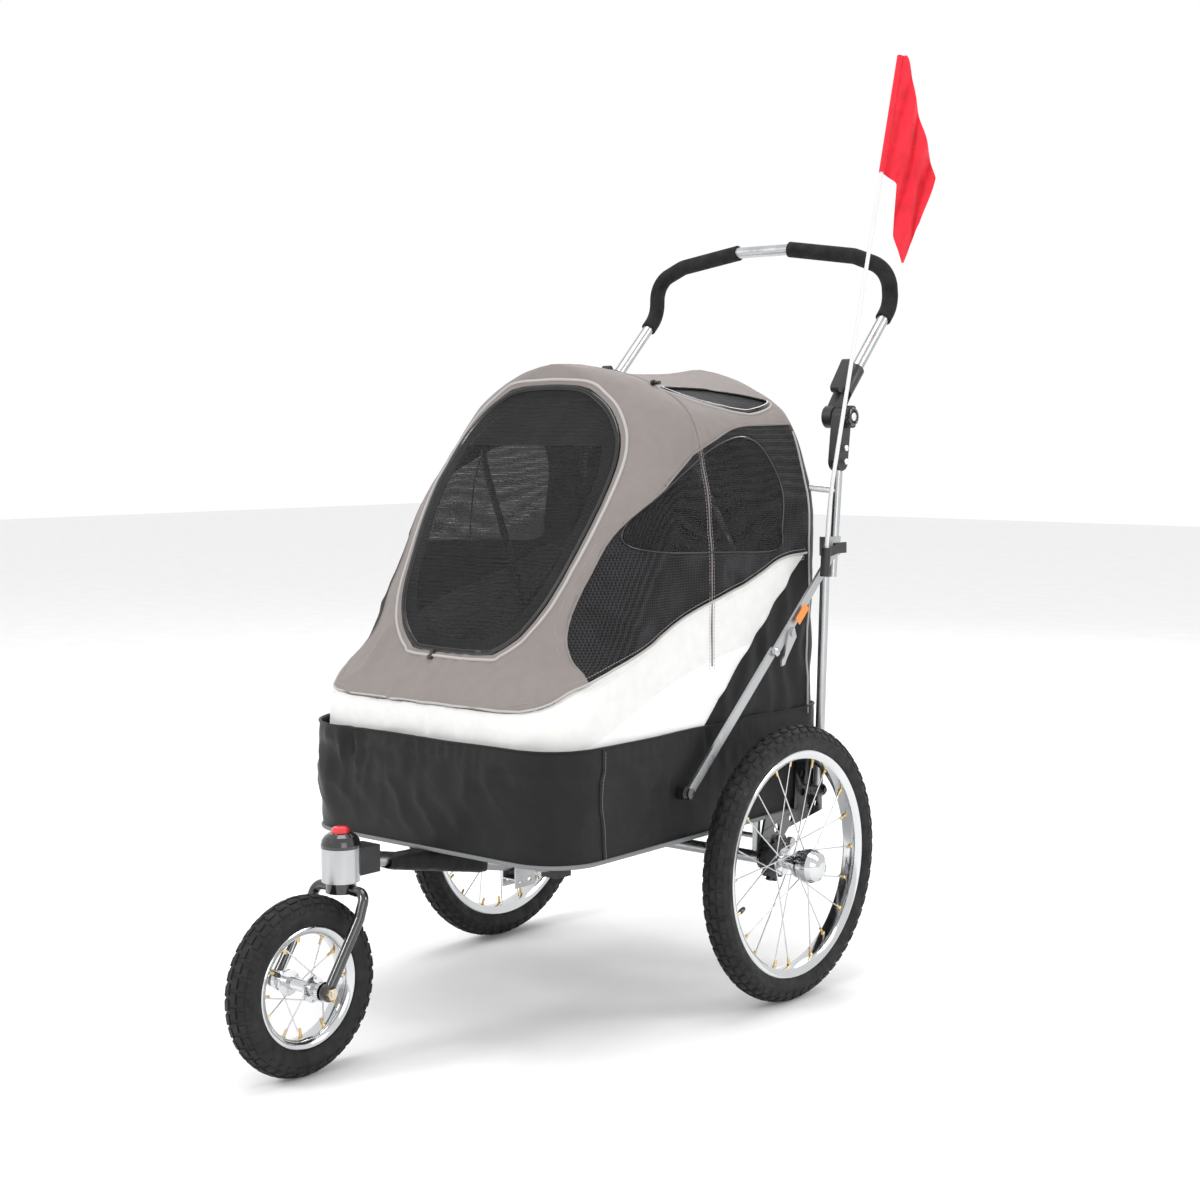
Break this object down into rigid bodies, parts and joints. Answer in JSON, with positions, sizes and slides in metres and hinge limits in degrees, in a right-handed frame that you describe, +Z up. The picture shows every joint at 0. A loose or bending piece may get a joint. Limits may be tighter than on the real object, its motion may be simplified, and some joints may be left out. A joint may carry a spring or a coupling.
{
  "type": "pet stroller",
  "caption": "Folding pet stroller: zipped cloth cabin with mesh windows on a tube frame, spoked wheels, a swivelling front wheel, a tilting push handle and a pennant on a pole.",
  "frame": {"origin": "on the ground, under the middle of the whole stroller", "axes": "+Z up; the stroller's front looks along -Y; +X is its left side"},
  "size_m": [0.682, 1.1494, 1.3852],
  "materials": {
    "black_nylon": "matt",
    "taupe_cloth": "matt",
    "band_cloth": "matt",
    "black_mesh": "matt",
    "window_mesh": "matt",
    "door_mesh": "matt",
    "cushion_cloth": "matt",
    "board": "matt",
    "steel": "satin",
    "alloy": "satin",
    "chrome": "polished",
    "zinc": "satin",
    "black_plastic": "satin",
    "gloss_black": "gloss",
    "black_frame": "gloss",
    "red_plastic": "gloss",
    "tyre": "matt",
    "foam": "matt",
    "white_pole": "gloss",
    "red_cloth": "matt"
  },
  "bodies": {
    "chassis": {"tub": "black_nylon", "floor_frame": "steel", "floor_board": "board", "floor_cushion": "cushion_cloth", "arm_tube": "alloy", "arm_sleeve": "black_nylon", "arm_brackets": "black_plastic", "hitch_bracket": "steel", "swivel_housing": "alloy", "swivel_cap": "gloss_black", "rear_axle": "alloy", "axle_plates": "black_frame", "link_brackets": "black_frame", "band": "band_cloth", "canopy_front": "taupe_cloth", "canopy_roof": "taupe_cloth", "rear_panel": "black_mesh", "side_panels": "black_mesh", "windows": "window_mesh", "roof_vent": "black_mesh", "zip_sliders": "gloss_black"},
    "button": {"lock_button": "red_plastic"},
    "fork_swivel": {"fork": "black_frame", "front_axle": "zinc"},
    "front_wheel": {"front_tyre": "tyre", "front_rim": "chrome", "front_spokes": "chrome", "front_hub": "chrome"},
    "brake": {"brake_bar": "steel"},
    "rear_frame": {"rear_stays": "alloy", "handle_posts": "alloy", "joint_housings": "black_plastic", "rear_bow": "alloy", "flag_socket": "black_plastic"},
    "bow": {"front_bow": "alloy"},
    "handle": {"handle_tube": "alloy", "grips": "foam", "handle_clamps": "black_plastic"},
    "door": {"door_mesh": "door_mesh", "door_border": "black_mesh"},
    "flag": {"flag_pole": "white_pole", "flag_cloth": "red_cloth"},
    "rear_wheel_left": {"rear_tyre_left": "tyre", "rear_rim_left": "chrome", "rear_spokes_left": "chrome", "rear_hub_left": "chrome", "brake_disc_left": "black_plastic"},
    "lower_link_left": {"lower_link_left": "alloy"},
    "upper_link_left": {"upper_link_left": "alloy"},
    "latch_left": {"latch_left": "steel"},
    "knob_left": {"knob_left": "black_plastic"},
    "rear_wheel_right": {"rear_tyre_right": "tyre", "rear_rim_right": "chrome", "rear_spokes_right": "chrome", "rear_hub_right": "chrome", "brake_disc_right": "black_plastic"},
    "lower_link_right": {"lower_link_right": "alloy"},
    "upper_link_right": {"upper_link_right": "alloy"},
    "latch_right": {"latch_right": "steel"},
    "knob_right": {"knob_right": "black_plastic"}
  },
  "joints": [
    {"name": "button_push", "type": "slide", "parent": "chassis", "child": "button", "axis": [0, 0, 1], "range_m": [-0.004, 0], "stiffness_N_per_m": 300, "springref_m": 0.002},
    {"name": "fork_spin", "type": "hinge", "parent": "chassis", "child": "fork_swivel", "pos_m": [0, -0.38773, 0.226], "axis": [0, 0, 1], "continuous": true},
    {"name": "front_wheel_spin", "type": "hinge", "parent": "fork_swivel", "child": "front_wheel", "pos_m": [0, -0.45773, 0.117], "axis": [1, 0, 0], "continuous": true},
    {"name": "brake_push", "type": "hinge", "parent": "chassis", "child": "brake", "pos_m": [0, 0.26827, 0.219], "axis": [1, 0, 0], "range_deg": [-30, 0]},
    {"name": "frame_fold", "type": "hinge", "parent": "chassis", "child": "rear_frame", "pos_m": [0, 0.34727, 0.285], "axis": [1, 0, 0], "range_deg": [0, 62], "deforming": ["band", "canopy_front", "canopy_roof", "rear_panel", "side_panels", "windows", "roof_vent", "zip_sliders", "door_mesh", "door_border"]},
    {"name": "bow_fold", "type": "hinge", "parent": "chassis", "child": "bow", "pos_m": [0, 0.25027, 0.47], "axis": [1, 0, 0], "range_deg": [0, 66]},
    {"name": "handle_tilt", "type": "hinge", "parent": "rear_frame", "child": "handle", "pos_m": [0, 0.40027, 0.842], "axis": [1, 0, 0], "range_deg": [-75, 90]},
    {"name": "door_open", "type": "hinge", "parent": "chassis", "child": "door", "pos_m": [0, -0.18423, 0.515], "axis": [1, 0, 0], "range_deg": [0, 120]},
    {"name": "flag_lift", "type": "slide", "parent": "rear_frame", "child": "flag", "axis": [0, 0.1091, 0.994], "range_m": [0, 0.06]},
    {"name": "rear_wheel_left_spin", "type": "hinge", "parent": "chassis", "child": "rear_wheel_left", "pos_m": [0.287, 0.22227, 0.2], "axis": [1, 0, 0], "continuous": true},
    {"name": "lower_link_left_fold", "type": "hinge", "parent": "chassis", "child": "lower_link_left", "pos_m": [0.259, 0.01427, 0.328], "axis": [1, 0, 0], "range_deg": [0, 93]},
    {"name": "upper_link_left_fold", "type": "hinge", "parent": "rear_frame", "child": "upper_link_left", "pos_m": [0.263, 0.36727, 0.648], "axis": [1, 0, 0], "range_deg": [-118, 0]},
    {"name": "latch_left_release", "type": "hinge", "parent": "upper_link_left", "child": "latch_left", "pos_m": [0.267, 0.24627, 0.53], "axis": [1, 0, 0], "range_deg": [0, 50]},
    {"name": "knob_left_turn", "type": "hinge", "parent": "rear_frame", "child": "knob_left", "pos_m": [0.26, 0.40027, 0.842], "axis": [1, 0, 0], "continuous": true},
    {"name": "rear_wheel_right_spin", "type": "hinge", "parent": "chassis", "child": "rear_wheel_right", "pos_m": [-0.287, 0.22227, 0.2], "axis": [1, 0, 0], "continuous": true},
    {"name": "lower_link_right_fold", "type": "hinge", "parent": "chassis", "child": "lower_link_right", "pos_m": [-0.259, 0.01427, 0.328], "axis": [1, 0, 0], "range_deg": [0, 93]},
    {"name": "upper_link_right_fold", "type": "hinge", "parent": "rear_frame", "child": "upper_link_right", "pos_m": [-0.263, 0.36727, 0.648], "axis": [1, 0, 0], "range_deg": [-118, 0]},
    {"name": "latch_right_release", "type": "hinge", "parent": "upper_link_right", "child": "latch_right", "pos_m": [-0.267, 0.24627, 0.53], "axis": [1, 0, 0], "range_deg": [0, 50]},
    {"name": "knob_right_turn", "type": "hinge", "parent": "rear_frame", "child": "knob_right", "pos_m": [-0.26, 0.40027, 0.842], "axis": [1, 0, 0], "continuous": true}
  ],
  "couplings": [
    {"joint": "bow_fold", "follows": "frame_fold", "ratio": 1.05},
    {"joint": "lower_link_left_fold", "follows": "frame_fold", "ratio": 1.4826},
    {"joint": "upper_link_left_fold", "follows": "frame_fold", "ratio": -1.885},
    {"joint": "lower_link_right_fold", "follows": "frame_fold", "ratio": 1.4826},
    {"joint": "upper_link_right_fold", "follows": "frame_fold", "ratio": -1.885}
  ]
}
